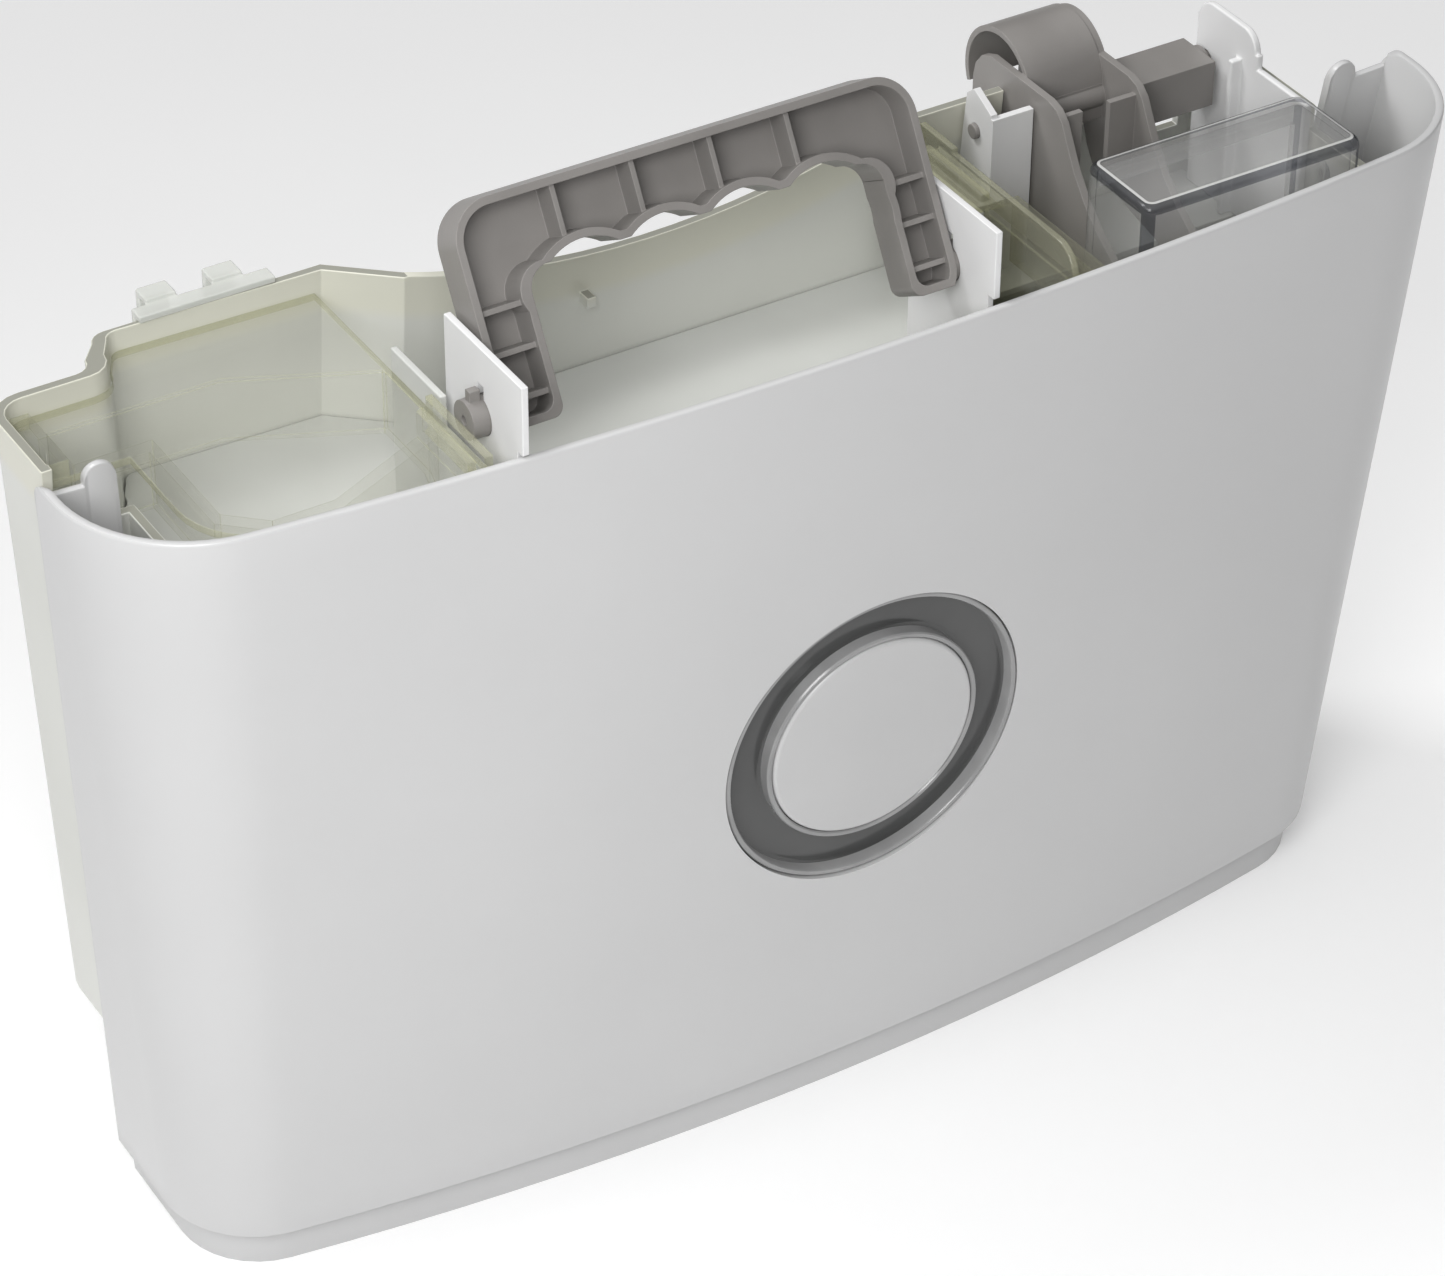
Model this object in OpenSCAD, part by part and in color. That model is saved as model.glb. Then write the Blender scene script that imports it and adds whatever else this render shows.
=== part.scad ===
/* [Bucket] */
// Width of the front shell at its rim
rim_w = 386; // [380:1:390]
// Width of the front shell where its taper meets the floor
floor_w = 352; // [348:1:356]
// Height of the rim above the floor
rim_h = 241; // [239:1:243]
// Wall of the front shell
shell_t = 2.4; // [2.2:0.1:2.6]
// Height of the base tray's outer band
base_h = 9.7; // [9:0.1:10.5]
// Dark groove between the base tray and the front shell
groove_h = 3; // [2:0.1:3.2]
// Wall of the water tank
tank_t = 2.6; // [2.4:0.1:2.8]
// Height of the step under the rear half of the tank
step_z = 52; // [48:1:56]

/* [Level window] */
// Outer radius of the round window
window_r = 43.4; // [41:0.1:45]
// Radius of the white disc in the middle of the window
disc_r = 29.5; // [28:0.1:31]
// Height of the window's centre
window_z = 118.8; // [115:0.1:124]
// Sideways offset of the window's centre
window_x = 6.8; // [0:0.1:8]

/* [Handle] */
// Left outer face of the handle
handle_x0 = -90.6; // [-90.8:0.1:-90]
// Right outer face of the handle
handle_x1 = 34.4; // [34:0.1:34.6]
// Length of the handle from its pivot to its top edge
handle_len = 48.2; // [47:0.1:50]
// Depth of the handle's channel section
handle_d = 10.8; // [10:0.1:11]
// Angle that the handle leans back from the vertical
handle_lean = 30.5; // [28:0.5:33]
// Radius of the handle's pivot pins
pin_r = 5; // [4.8:0.1:5.2]

/* [Float switch] */
// Radius of the lever's axle
axle_r = 2; // [1.8:0.1:2.2]
// Outer radius of the lever's half drum
drum_r = 15; // [14:0.1:15.4]
// Width of the clear float cover
cover_w = 66.7; // [65.5:0.1:66.7]
// Depth of the clear float cover
cover_d = 27.2; // [26:0.2:28]

/* [Hidden] */
$fn = 64;

slack = 0.02;              // overlap that keeps a cut from leaving a skin
front_y = -58.5;           // front apex of the rim
lean_front = 12.3 / 241;   // how far the front sets back for each mm of height
lean_edge = 0.105;         // slant of the shell's rear edge
lean_rear = 0.085;         // slant of the tank's rear wall
flange_t = 2.2;            // return flange at the shell's rear edge
front_steps = 20;          // segments of the bowed front
corner_steps = 8;          // segments of each rounded corner
shell_z0 = base_h + groove_h;
step_foot = 19;            // where the tank narrows to enter the base tray
baffle_z = 197;            // top of the splash baffle
bay_x = 60.6;              // right end of the middle bay
lid_z = rim_h - 6;         // top of the clear splash lid
shoulder_z = 205;          // top of the tank's right shoulder
neck_x = 157;              // right end of the tank above its shoulder
rear_y = 29;               // outer face of the tank's rear wall at the rim
bay_y = 13.4;              // how far the left bay stands behind that wall
ear_y0 = -54.6;            // front edge of both handle brackets above the rim
ear_y1 = -18;              // rear edge of both handle brackets
ear_z = 260;               // top of both handle brackets
ear_t = 1.8;
ear_xl = -93.6;            // left face of the left bracket
ear_xr = 35.3;             // left face of the right bracket
pivot_y = -34.8;           // handle pivot
pivot_z = 241.5;
axle_y = 20.5;             // float lever's axle
axle_z = 236;
plate_t = 2.2;             // lever's side plates
plate_xl = 93.5;
plate_xr = 118;
drum_t = 1.6;              // lever's half drum
drum_y = 33.5;
drum_z = 239;
post_x = 80.4;             // left face of the float post
panel_x = 152.2;           // left face of the float bracket
cover_x = 84.8;            // left side of the float cover
cover_y = -47.5;           // front side of the float cover
cover_z = rim_h + 6;       // top of the float cover
pin_gap = 0.06;            // radial clearance of the running fits
link_y = -25;              // pins that hang the float from the lever
link_z = 208.6;
link_r = 1.4;
screw_r = 1.5;
shell_screw_z = [84, 180];
bracket_screw_z = [211, 224];
lean_deg = atan(lean_front);

// Shape of the body at a height z
function half_w(z) = floor_w / 2 + (rim_w - floor_w) / 2 * z / rim_h;
function apex(z) = front_y + lean_front * (rim_h - z);
function bow_r(z) = 966 + 619 * z / rim_h;
function corner_r(z) = 26.9 + 9.4 * z / rim_h;
function rear_edge(z) = -3.5 + lean_edge * (236 - z);
function wall_y(z) = rear_y + lean_rear * (rim_h - z);

function arc(cx, cy, r, a0, a1, n) = [for (i = [0:n]) let (a = a0 + (a1 - a0) * i / n)
    [cx + r * cos(a), cy + r * sin(a)]];

// Front of a plan outline, from its left side round the bowed front to its right side
function front_path(w, a, r_bow, r) =
    let (cy = a + r_bow - sqrt(pow(r_bow - r, 2) - pow(w - r, 2)),
         lean = atan2(w - r, a + r_bow - cy))
    concat(arc(-w + r, cy, r, 180, 270 - lean, corner_steps),
           [for (i = [1:front_steps - 1]) let (b = -lean + 2 * lean * i / front_steps)
               [r_bow * sin(b), a + r_bow - r_bow * cos(b)]],
           arc(w - r, cy, r, -90 + lean, 0, corner_steps));

function shell_front(z, o) = front_path(half_w(z) - o, apex(z) + o, bow_r(z) - o, corner_r(z) - o);

// Plan of the closed front body, drawn in by o and ending at y = rear
function body_plan(z, o, rear) = concat([[-half_w(z) + o, rear]], shell_front(z, o), [[half_w(z) - o, rear]]);

// Plan outline of the tank, drawn in by o
function tank_outline(z, o) =
    let (w = half_w(z) - 2.9 - o, wf = half_w(z) - 23 - o, j = rear_edge(z) + 0.3 + o, y = wall_y(z) - o,
         r = 9 - o, k = 0.37 * o, s = half_w(z) - half_w(rim_h))
    concat([[-wf, j]], front_path(wf, apex(z) + shell_t + 0.6 + o, bow_r(z) - o, 24 - o),
        [[wf, j], [w, j]], arc(w - r, y - r, r, 0, 90, 5),
        [[-79.5 - k, y], [-95 - k, y + bay_y]],
        arc(-152.6 + o - s, y + bay_y - 5 + o, 5 - o / 2, 90, 165, 4),
        arc(-166 + o - s, y + 4.2 + o, 4.2 + o, 0, -90, 4),
        arc(-w + r, y - r, r, 90, 180, 5), [[-w, j]]);

// Foot of the tank, small enough to stand inside the base tray
function foot_plan(z, o) = let (w = half_w(z) - 27 - o)
    concat([[-w, 20]], front_path(w, apex(z) + 7.2 + o, bow_r(z) - o, 20 - o), [[w, 20]]);

// Solid between two plan outlines with the same number of points, capped about the hubs c0 and c1
module loft(p0, p1, z0, z1, c0 = [0, -20], c1 = [0, -20]) {
    n = len(p0);
    points = concat([for (p = p0) [p.x, p.y, z0]], [for (p = p1) [p.x, p.y, z1]],
        [[c0.x, c0.y, z0], [c1.x, c1.y, z1]]);
    faces = [for (i = [0:n - 1], k = [0:3]) let (m = (i + 1) % n)
        [[2 * n, i, m], [2 * n + 1, n + m, n + i], [i, n + i, n + m], [i, n + m, m]][k]];
    polyhedron(points, faces);
}

module slab(x0, x1, y0, y1, z0, z1) {
    translate([x0, y0, z0]) cube([x1 - x0, y1 - y0, z1 - z0]);
}

// Extrudes a YZ profile along +X from x0
module along_x(x0, width) {
    translate([x0, 0, 0]) rotate([90, 0, 90]) linear_extrude(width) children();
}

module rod_x(x0, x1, y, z, r) {
    translate([x0, y, z]) rotate([0, 90, 0]) cylinder(h = x1 - x0, r = r);
}

// Frame on the leaning front face: +Z points out of the face
module on_front() {
    translate([window_x, apex(window_z), window_z]) rotate([90 + lean_deg, 0, 0]) children();
}

// Handle's own frame: X across, Y up the handle, Z towards its back, origin on the pivot
module handle_frame() {
    translate([0, pivot_y, pivot_z]) rotate([-handle_lean, 0, 0]) rotate([90, 0, 0]) mirror([0, 0, 1]) children();
}

module front_shell() {
    t = flange_t;
    z1 = rim_h + 2;
    e0 = rear_edge(shell_z0);
    function slot(z) = let (f = half_w(z) - 20, e = rear_edge(z)) [[-f, e - 9], [f, e - 9], [f, e + 5], [-f, e + 5]];
    color("whitesmoke") difference() {
        loft(body_plan(shell_z0, 0, e0), body_plan(rim_h, 0, rear_edge(rim_h)), shell_z0, rim_h);
        loft(body_plan(shell_z0 - 1, shell_t, e0 - t), body_plan(z1, shell_t, rear_edge(z1) - t), shell_z0 - 1, z1);
        loft(slot(shell_z0 - 1), slot(z1), shell_z0 - 1, z1, [0, e0], [0, rear_edge(z1)]);
        on_front() translate([0, 0, -20]) cylinder(h = 40, r = window_r + 0.3);
        // low top of both flanges and rounded rear corner of both side walls
        for (side = [-1, 1]) {
            translate([side * 180, -4, 239]) cube([20, 12, 8], center = true);
            difference() {
                slab(side * 195 - 10, side * 195 + 10, -9.5, 2, 235.5, z1);
                rod_x(side * 195 - 11, side * 195 + 11, -9.5, 235.5, 5.5);
            }
            for (z = shell_screw_z) translate([side * (half_w(z) - 12), rear_edge(z) - 6, z]) rotate([-90, 0, 0])
                cylinder(h = 9, r = screw_r + 0.3);
        }
    }
    // round tab on the inner end of each flange
    color("whitesmoke") for (side = [-1, 1]) {
        translate([side * 177, -6, 236.5]) rotate([-90, 0, 0]) cylinder(h = 2, r = 4);
        slab(side * 177 - 4, side * 177 + 4, -6, -4, 231, 236.5);
    }
}

module base_section(o, z0, z1, rear) {
    loft(body_plan(z0, o, rear), body_plan(z1, o, rear), z0, z1);
}

module base_tray() {
    color("gainsboro") difference() {
        union() {
            base_section(3.5, 0, base_h, 20);
            base_section(4.6, base_h - slack, shell_z0 + 5, 16.4);
        }
        base_section(6.8, 2.4, base_h, 17.6);
        base_section(6.8, base_h - slack, shell_z0 + 6, 30);
    }
}

// Body of the tank drawn in by o: full depth above its step and narrow at its neck
module tank_body(o, z0, z1) {
    zf = step_foot + o;
    function hub(z) = [-120, (rear_edge(z) + wall_y(z)) / 2];
    difference() {
        union() {
            loft(foot_plan(z0, o), foot_plan(zf + 1, o), z0, zf + 1);
            loft(tank_outline(zf, o), tank_outline(z1, o), zf, z1, hub(zf), hub(z1));
        }
        slab(-200, 200, 14 - o, 80, -1, step_z + o);
        slab(neck_x - o, 200, -80, 80, shoulder_z - o, rim_h + 12);
    }
}

// Blind boss behind a shell screw, with its hole
module screw_boss(side, z, hole) {
    y = rear_edge(z) + (hole ? -1 : 1);
    translate([side * (half_w(z) - 12), y, z]) rotate([-90, 0, 0]) cylinder(h = 9, r = hole ? screw_r + 0.05 : 4);
}

module water_tank() {
    dip_r = 207;
    color([0.90, 0.91, 0.86]) difference() {
        union() {
            difference() {
                tank_body(0, 2.5, rim_h);
                tank_body(tank_t, 2.5 + tank_t, rim_h + 8);
            }
            for (side = [-1, 1], z = shell_screw_z) screw_boss(side, z, false);
            // peg on the rear wall
            slab(-31.4, -28.8, 24, wall_y(219) - tank_t + 0.4, 217, 220);
        }
        for (side = [-1, 1], z = shell_screw_z) screw_boss(side, z, true);
        for (x = [ear_xl, ear_xr], z = bracket_screw_z) translate([x + ear_t + 5, ear_foot(x) - 2.4, z])
            rotate([-90, 0, 0]) cylinder(h = 6, r = screw_r + 0.05);
        on_front() translate([0, 0, -14]) cylinder(h = 14, r = window_r + 0.3);
        // smooth dip of the rear rim behind the handle
        translate([-12, 0, rim_h - 11.3 + dip_r]) rotate([-90, 0, 0]) cylinder(h = 60, r = dip_r, $fn = 180);
        // low front wall behind the shell's rim
        slab(-200, 200, -80, -20, rim_h - 6, rim_h + 9);
        slab(-200, -99, -80, -3.8, rim_h - 20, rim_h + 9);
        slab(-187.2, -99, -10, 1.3, rim_h - 20, rim_h + 9);
        // notch for the lever and low wall at its right
        slab(92.9, 157, 20, 60, 222, rim_h + 9);
        slab(137, 151, 20, 60, 212, rim_h + 9);
    }
}

module splash_baffle() {
    color([0.88, 0.89, 0.84]) translate([0, 0, baffle_z - 2]) linear_extrude(2) intersection() {
        polygon(tank_outline(baffle_z, tank_t + 0.3));
        union() {
            translate([-190, -12]) square([190 + bay_x, 90]);
            translate([bay_x - 1, 4]) square([95, 90]);
        }
    }
    color([0.88, 0.89, 0.84]) slab(-162.4, bay_x, -14, -12, baffle_z - 14, baffle_z);
}

module bay_partition() {
    color("whitesmoke") difference() {
        slab(-97.8, -96, -46.8, 1.5, baffle_z, rim_h);
        slab(-99, -95, -60, -23, 232.5, rim_h + 1);
    }
    color("whitesmoke") difference() {
        slab(bay_x - 2.2, bay_x - 0.2, -46.4, 24, baffle_z, 236.3);
        slab(bay_x - 3, bay_x + 1, -60, -13.5, 212, rim_h);
    }
}

// Opening in the lid, with its two cut corners at the right
module lid_opening(o) {
    polygon([[-159 - o, -31], [-150, -39.3 - o], [-134, -39.3 - o], [-102 + o, -24.6 - o], [-99.8 + o, -18],
        [-99.8 + o, 1.9 + o], [-134, 18.2 + o], [-179 - o, 18.2 + o], [-179 - o, 3.7 - o], [-159 - o, 3.7 - o]]);
}

module splash_lid() {
    lid_t = 2;
    wall = 1.6;
    color([0.86, 0.87, 0.70, 0.5]) difference() {
        union() {
            translate([0, 0, lid_z - lid_t]) linear_extrude(lid_t) intersection() {
                polygon(tank_outline(lid_z, tank_t + 0.4));
                translate([-190, -51.5]) square([92, 110]);
            }
            translate([0, 0, lid_z - 18]) linear_extrude(18) lid_opening(wall);
            slab(-106, -103.8, -51, -22, lid_z - lid_t, rim_h + 1);
            slab(-101.6, -99.4, -51, -22, lid_z - lid_t, rim_h + 1);
            slab(-186.3, -181.5, 0, 22, lid_z - lid_t, rim_h - 1.5);
        }
        translate([0, 0, lid_z - 30]) linear_extrude(40) lid_opening(0);
    }
}

// Two hooks on a strip that is clipped behind the left bay's rim
module rim_hooks() {
    y = rear_y + bay_y;
    color([0.9, 0.9, 0.88, 0.6]) {
        slab(-144, -108, y + 0.9, y + 2.5, rim_h - 9, rim_h + 2);
        slab(-144, -108, y - 2.3, y + 2.5, rim_h + 0.2, rim_h + 2);
        for (x = [-140, -122.5]) difference() {
            slab(x, x + 8, y + 2.5 - slack, y + 8.5, rim_h - 5, rim_h + 3);
            slab(x - 1, x + 9, y + 2.5 - slack, y + 6.7, rim_h - 6, rim_h + 1.2);
        }
    }
}

// Smoky cup with a channel round its middle
module window_ring() {
    depth = 9;
    channel = 4.6;
    top = -0.8;
    color([0.38, 0.39, 0.38, 0.8]) on_front() rotate_extrude() difference() {
        translate([0, -depth - 1.4]) square([window_r, depth + 1.4 + top]);
        translate([0, -depth]) square([disc_r + 0.2, depth + 1]);
        translate([disc_r + 1.7, -channel]) square([window_r - disc_r - 3.4, channel + 1]);
    }
}

module window_disc() {
    color("whitesmoke") on_front() difference() {
        translate([0, 0, -8.9]) cylinder(h = 8.4, r = disc_r, $fn = 96);
        translate([0, 0, -10]) cylinder(h = 7.6, r = disc_r - 2, $fn = 96);
    }
}

// Face of the tank's front wall that a bracket screws on to
function ear_foot(x) = (x < 0 ? -48 : -50.4);

// Plate that clips over the tank's front wall, with a hole for the handle's pin and a slot over it
module ear_plate(x0) {
    y0 = ear_foot(x0);
    difference() {
        along_x(x0, ear_t) polygon([[y0, 206], [ear_y1, 206], [ear_y1, ear_z], [ear_y0, ear_z],
            [ear_y0, rim_h + 0.4], [ear_y0 + 2.6, rim_h + 0.4], [ear_y0 + 2.6, rim_h - 5.7], [y0, rim_h - 5.7]]);
        rod_x(x0 - 1, x0 + ear_t + 1, pivot_y, pivot_z, pin_r + pin_gap);
        slab(x0 - 1, x0 + ear_t + 1, pivot_y - 1.4, pivot_y + 1.4, pivot_z, pivot_z + pin_r + 3.4);
    }
}

module bracket_foot(x0) {
    y0 = ear_foot(x0);
    difference() {
        slab(x0 + ear_t - slack, x0 + 12, y0, y0 + 1.8, 206, 230);
        for (z = bracket_screw_z) translate([x0 + ear_t + 5, y0 - 1, z]) rotate([-90, 0, 0])
            cylinder(h = 4, r = screw_r + 0.3);
    }
}

module handle_bracket_left() {
    color("whitesmoke") ear_plate(ear_xl);
    color("whitesmoke") bracket_foot(ear_xl);
}

module handle_bracket_right() {
    color("whitesmoke") ear_plate(ear_xr);
    color("whitesmoke") bracket_foot(ear_xr);
}

// Outline of the handle: a bail with round outer corners and feet
module handle_profile(o) {
    r = 10.5;
    foot = 5.4;
    difference() {
        union() {
            for (x = [handle_x0 + r, handle_x1 - r]) translate([x, handle_len - r]) circle(r - o);
            translate([handle_x0 + r, handle_len - 2 * r]) square([handle_x1 - handle_x0 - 2 * r, 2 * r - o]);
            translate([handle_x0 + o, 0]) square([handle_x1 - handle_x0 - 2 * o, handle_len - r]);
            for (x = [handle_x0 + 8.5, handle_x1 - 8.5]) translate([x, 0]) circle(r = 8.5 - o);
        }
        translate([0, -20 - foot + o]) square([300, 40], center = true);
        handle_opening(o);
        foot_corner(handle_x0 + 15.4 - o, -foot + o, -1);
        foot_corner(handle_x1 - 13.4 + o, -foot + o, 1);
    }
}

// Rounds the inner bottom corner of a leg, towards side
module foot_corner(x, y, side) {
    r = 3;
    difference() {
        translate([x + side * r / 2, y + r / 2]) square(r + slack, center = true);
        translate([x + side * r, y + r]) circle(r = r);
    }
}

// Grip opening, whose top edge has four shallow finger scallops
module handle_opening(o) {
    x0 = handle_x0 + 15.4 - o;
    x1 = handle_x1 - 13.4 + o;
    translate([x0, -20]) square([x1 - x0, 44]);
    translate([x0 + 8, 0]) square([x1 - x0 - 16, 29.3 + o]);
    for (x = [x0 + 6, x1 - 6]) translate([x, 23.4]) circle(r = 6 + o / 2);
    for (i = [0:3]) translate([-59.4 + 21.7 * i, 16.8]) circle(r = 15.6 + o);
}

module handle() {
    wall = 2;
    back = handle_d / 2;
    color([0.49, 0.47, 0.45]) handle_frame() {
        difference() {
            translate([0, 0, -back]) linear_extrude(handle_d) handle_profile(0);
            translate([0, 0, -back - 1]) linear_extrude(handle_d + 1 - wall) handle_profile(wall);
        }
        for (i = [0:3]) translate([-63.5 + 21.2 * i, 33.4, -back + 1.5]) cube([1.4, handle_len - 34.4, handle_d - 2.5]);
        for (z = [0.4, 11.4, 21.6]) {
            translate([handle_x0 + 1, z, -back + 1.5]) cube([14, 1.4, handle_d - 2.5]);
            translate([handle_x1 - 13, z, -back + 1.5]) cube([12, 1.4, handle_d - 2.5]);
        }
    }
    // pivot pins, each with a locking tab
    color([0.49, 0.47, 0.45]) {
        difference() {
            rod_x(ear_xl - 4.4, handle_x0 + slack, pivot_y, pivot_z, pin_r);
            rod_x(ear_xl - 5, ear_xl - 1, pivot_y, pivot_z, 1.2);
        }
        rod_x(handle_x1 - slack, ear_xr + ear_t + 3, pivot_y, pivot_z, pin_r);
        slab(ear_xl - 3.4, ear_xl - 0.6, pivot_y - 1.1, pivot_y + 1.1, pivot_z + 3, pivot_z + pin_r + 2.8);
        slab(ear_xr + ear_t + 0.6, ear_xr + ear_t + 2.4, pivot_y - 1.1, pivot_y + 1.1, pivot_z + 3,
            pivot_z + pin_r + 2.8);
    }
}

module float_post() {
    z0 = baffle_z;
    color("whitesmoke") difference() {
        union() {
            along_x(post_x, 2) polygon([[14, z0], [29.5, z0], [26.1, 236], [25, 245], [22, 247.4], [14, 243.5]]);
            slab(post_x, post_x + 12.4, 13, 15, z0, 242.5);
            slab(post_x, post_x + 12.4, 13, 29, z0, z0 + 2);
        }
        rod_x(post_x - 1, post_x + 3, axle_y, axle_z, axle_r + pin_gap);
    }
}

module float_bracket() {
    color("whitesmoke") difference() {
        along_x(panel_x, 2) union() {
            polygon([[-22, baffle_z], [25, baffle_z], [25, 247], [-1, 247], [-1, 243], [-22, 243]]);
            translate([6, 240]) square([13, 12.4]);
            for (y = [6, 19]) translate([y, 246.4]) circle(r = 6);
        }
        rod_x(panel_x - 1, panel_x + 3, axle_y, axle_z, axle_r + pin_gap);
    }
    color("whitesmoke") slab(panel_x - 3, panel_x + slack, 5.5, 7.5, baffle_z, 243);
}

// Side plate of the lever: a flat back, a rounded shoulder and an arm down to the float
module lever_profile() {
    polygon([[41.5, 231], [41.5, 238], [40.6, 242], [38, 245.4], [34, 247], [8, 247], [4.4, 246], [1.6, 243.6],
        [-1.5, 238], [-4.7, 232.4], [-9.5, 226.4], [-15.5, 220.8], [-27, 213], [-29, 207], [-24, 205], [-12, 206],
        [0, 208.5], [12, 211.6], [21, 214.5], [24, 219], [27, 227], [36, 230]]);
}

module drum_arc(x0, width, r, t) {
    translate([x0, drum_y, drum_z]) rotate([90, 0, 90]) rotate([0, 0, -24]) rotate_extrude(angle = 202.5)
        translate([r - t, 0]) square([t, width]);
}

module float_lever() {
    inner = plate_xl + plate_t;
    outer = plate_xr + plate_t;
    color([0.47, 0.46, 0.44]) difference() {
        union() {
            along_x(plate_xl, plate_t) lever_profile();
            along_x(plate_xr, plate_t) union() {
                lever_profile();
                // closed right end of the drum
                intersection() {
                    translate([drum_y, drum_z]) circle(drum_r - 0.5);
                    translate([drum_y - drum_r, drum_z - 2]) square([2 * drum_r, drum_r + 4]);
                }
            }
            drum_arc(inner - slack, plate_xr - inner + 2 * slack, drum_r, drum_t);
            // front wall under the drum
            slab(inner - slack, plate_xr + slack, drum_y - drum_r - 0.1, drum_y - drum_r + drum_t + 0.1, 229.6,
                drum_z + 0.6);
            slab(103, 104.4, 33, 35, 236, 252.6);
            slab(inner - slack, inner + 6, 4, 5.8, 220, 243.5);
            slab(plate_xr - 8, plate_xr + slack, 4, 5.8, 220, 243.5);
            slab(outer - slack, 126, 15.5, 25, 231, 240.4);
            slab(124.6, 148, 10.8, 25, 228, 241);
            rod_x(148 - slack, 150.6, axle_y, axle_z, 4);
            rod_x(inner - slack, plate_xr + slack, axle_y, axle_z, 3.6);
        }
        slab(126.4, 146.2, 12.4, 23.4, 227, axle_z - 3.4);
        rod_x(90, 152, axle_y, axle_z, axle_r + 0.03);
        rod_x(90, 122, link_y, link_z, link_r + 0.05);
    }
}

module float_axle() {
    color("silver") rod_x(post_x - 1.2, panel_x + 1.8, axle_y, axle_z, axle_r);
}

module lever_magnet() {
    color("dimgray") slab(127, 145.6, 12.6, 23.2, 228.4, axle_z - 3.5);
}

// Hollow float hung from the lever by two pins
module float() {
    color("dimgray") {
        difference() {
            slab(91.5, 146, -34, -13, 181, 204);
            slab(93.1, 144.4, -32.4, -14.6, 182.6, 202.4);
        }
        for (x = [plate_xl + plate_t + 0.3, plate_xr - 2.3])
            slab(x, x + 2, link_y - 3, link_y + 3, 204 - slack, link_z + 2.6);
        rod_x(plate_xl - 0.4, plate_xl + plate_t + 0.3 + slack, link_y, link_z, link_r);
        rod_x(plate_xr - 0.3 - slack, plate_xr + plate_t + 0.4, link_y, link_z, link_r);
    }
}

// Clear box whose lower skirt follows the tank's front wall
module float_cover() {
    t = 1.8;
    y1 = cover_y + cover_d;
    color([0.85, 0.87, 0.86, 0.4]) difference() {
        union() {
            cover_skirt(0, 216, rim_h - 5.5);
            slab(cover_x, cover_x + cover_w, cover_y, y1, rim_h - 5.7, cover_z);
            slab(cover_x - 6, cover_x + t, -43, y1, 214, 216);
        }
        cover_skirt(t, 210, rim_h - 5.5);
        slab(cover_x + t, cover_x + cover_w - t, cover_y + t, y1 - t, rim_h - 5.7, cover_z - t);
        slab(cover_x + t, cover_x + cover_w - t, y1 - 3, y1 + 1, 210, cover_z - 8);
    }
}

module cover_skirt(o, z0, z1) {
    translate([0, 0, z0]) linear_extrude(z1 - z0) intersection() {
        translate([cover_x + o, cover_y + o]) square([cover_w - 2 * o, cover_d - 2 * o]);
        polygon(tank_outline(214, tank_t + 0.35 + o));
    }
}

// Clear wall between the middle bay and the float bay, with a shelf for the float cover
module clear_guard() {
    x0 = bay_x + 5;
    t = 1.8;
    color([0.80, 0.80, 0.55, 0.5]) {
        along_x(x0, t) difference() {
            translate([-45, baffle_z + 0.5]) square([69, 42]);
            difference() {
                translate([-46, 231.5]) square([9, 9]);
                translate([-37, 231.5]) circle(r = 8);
            }
        }
        slab(bay_x - 3.6, x0 + slack, -14, 15, 236.5, 238.6);
        slab(bay_x - 1, bay_x + 1.6, -13, 14, 238.6 - slack, rim_h);
        slab(x0, x0 + t, 9, 24, 239.5 - slack, rim_h);
        slab(x0 + t - slack, 77, -44, -4, 229, 231);
        slab(75.2, 77, -44, -4, 212, 229 + slack);
        slab(75.2, 88, -44, -20, 212, 213.9);
    }
}

// Screws through both return flanges into the tank's bosses
module shell_screws() {
    color("silver") for (side = [-1, 1], z = shell_screw_z) {
        translate([side * (half_w(z) - 12), rear_edge(z) - flange_t - 0.4, z]) rotate([-90, 0, 0]) {
            translate([0, 0, -2]) cylinder(h = 2, r = 3.2);
            translate([0, 0, -slack]) cylinder(h = 10, r = screw_r);
        }
    }
}

module bracket_screws() {
    color("silver") for (x = [ear_xl, ear_xr], z = bracket_screw_z) {
        translate([x + ear_t + 5, ear_foot(x), z]) rotate([-90, 0, 0]) {
            translate([0, 0, 1.8]) cylinder(h = 1.8, r = 2.8);
            translate([0, 0, -2.2]) cylinder(h = 4.1, r = screw_r);
        }
    }
}

front_shell();
base_tray();
water_tank();
splash_baffle();
bay_partition();
splash_lid();
rim_hooks();
window_ring();
window_disc();
handle_bracket_left();
handle_bracket_right();
handle();
float_post();
float_bracket();
float_lever();
float_axle();
lever_magnet();
float();
float_cover();
clear_guard();
shell_screws();
bracket_screws();
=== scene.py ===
import math

import bmesh
import bpy
from mathutils import Matrix, Vector
from mathutils.bvhtree import BVHTree


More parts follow.
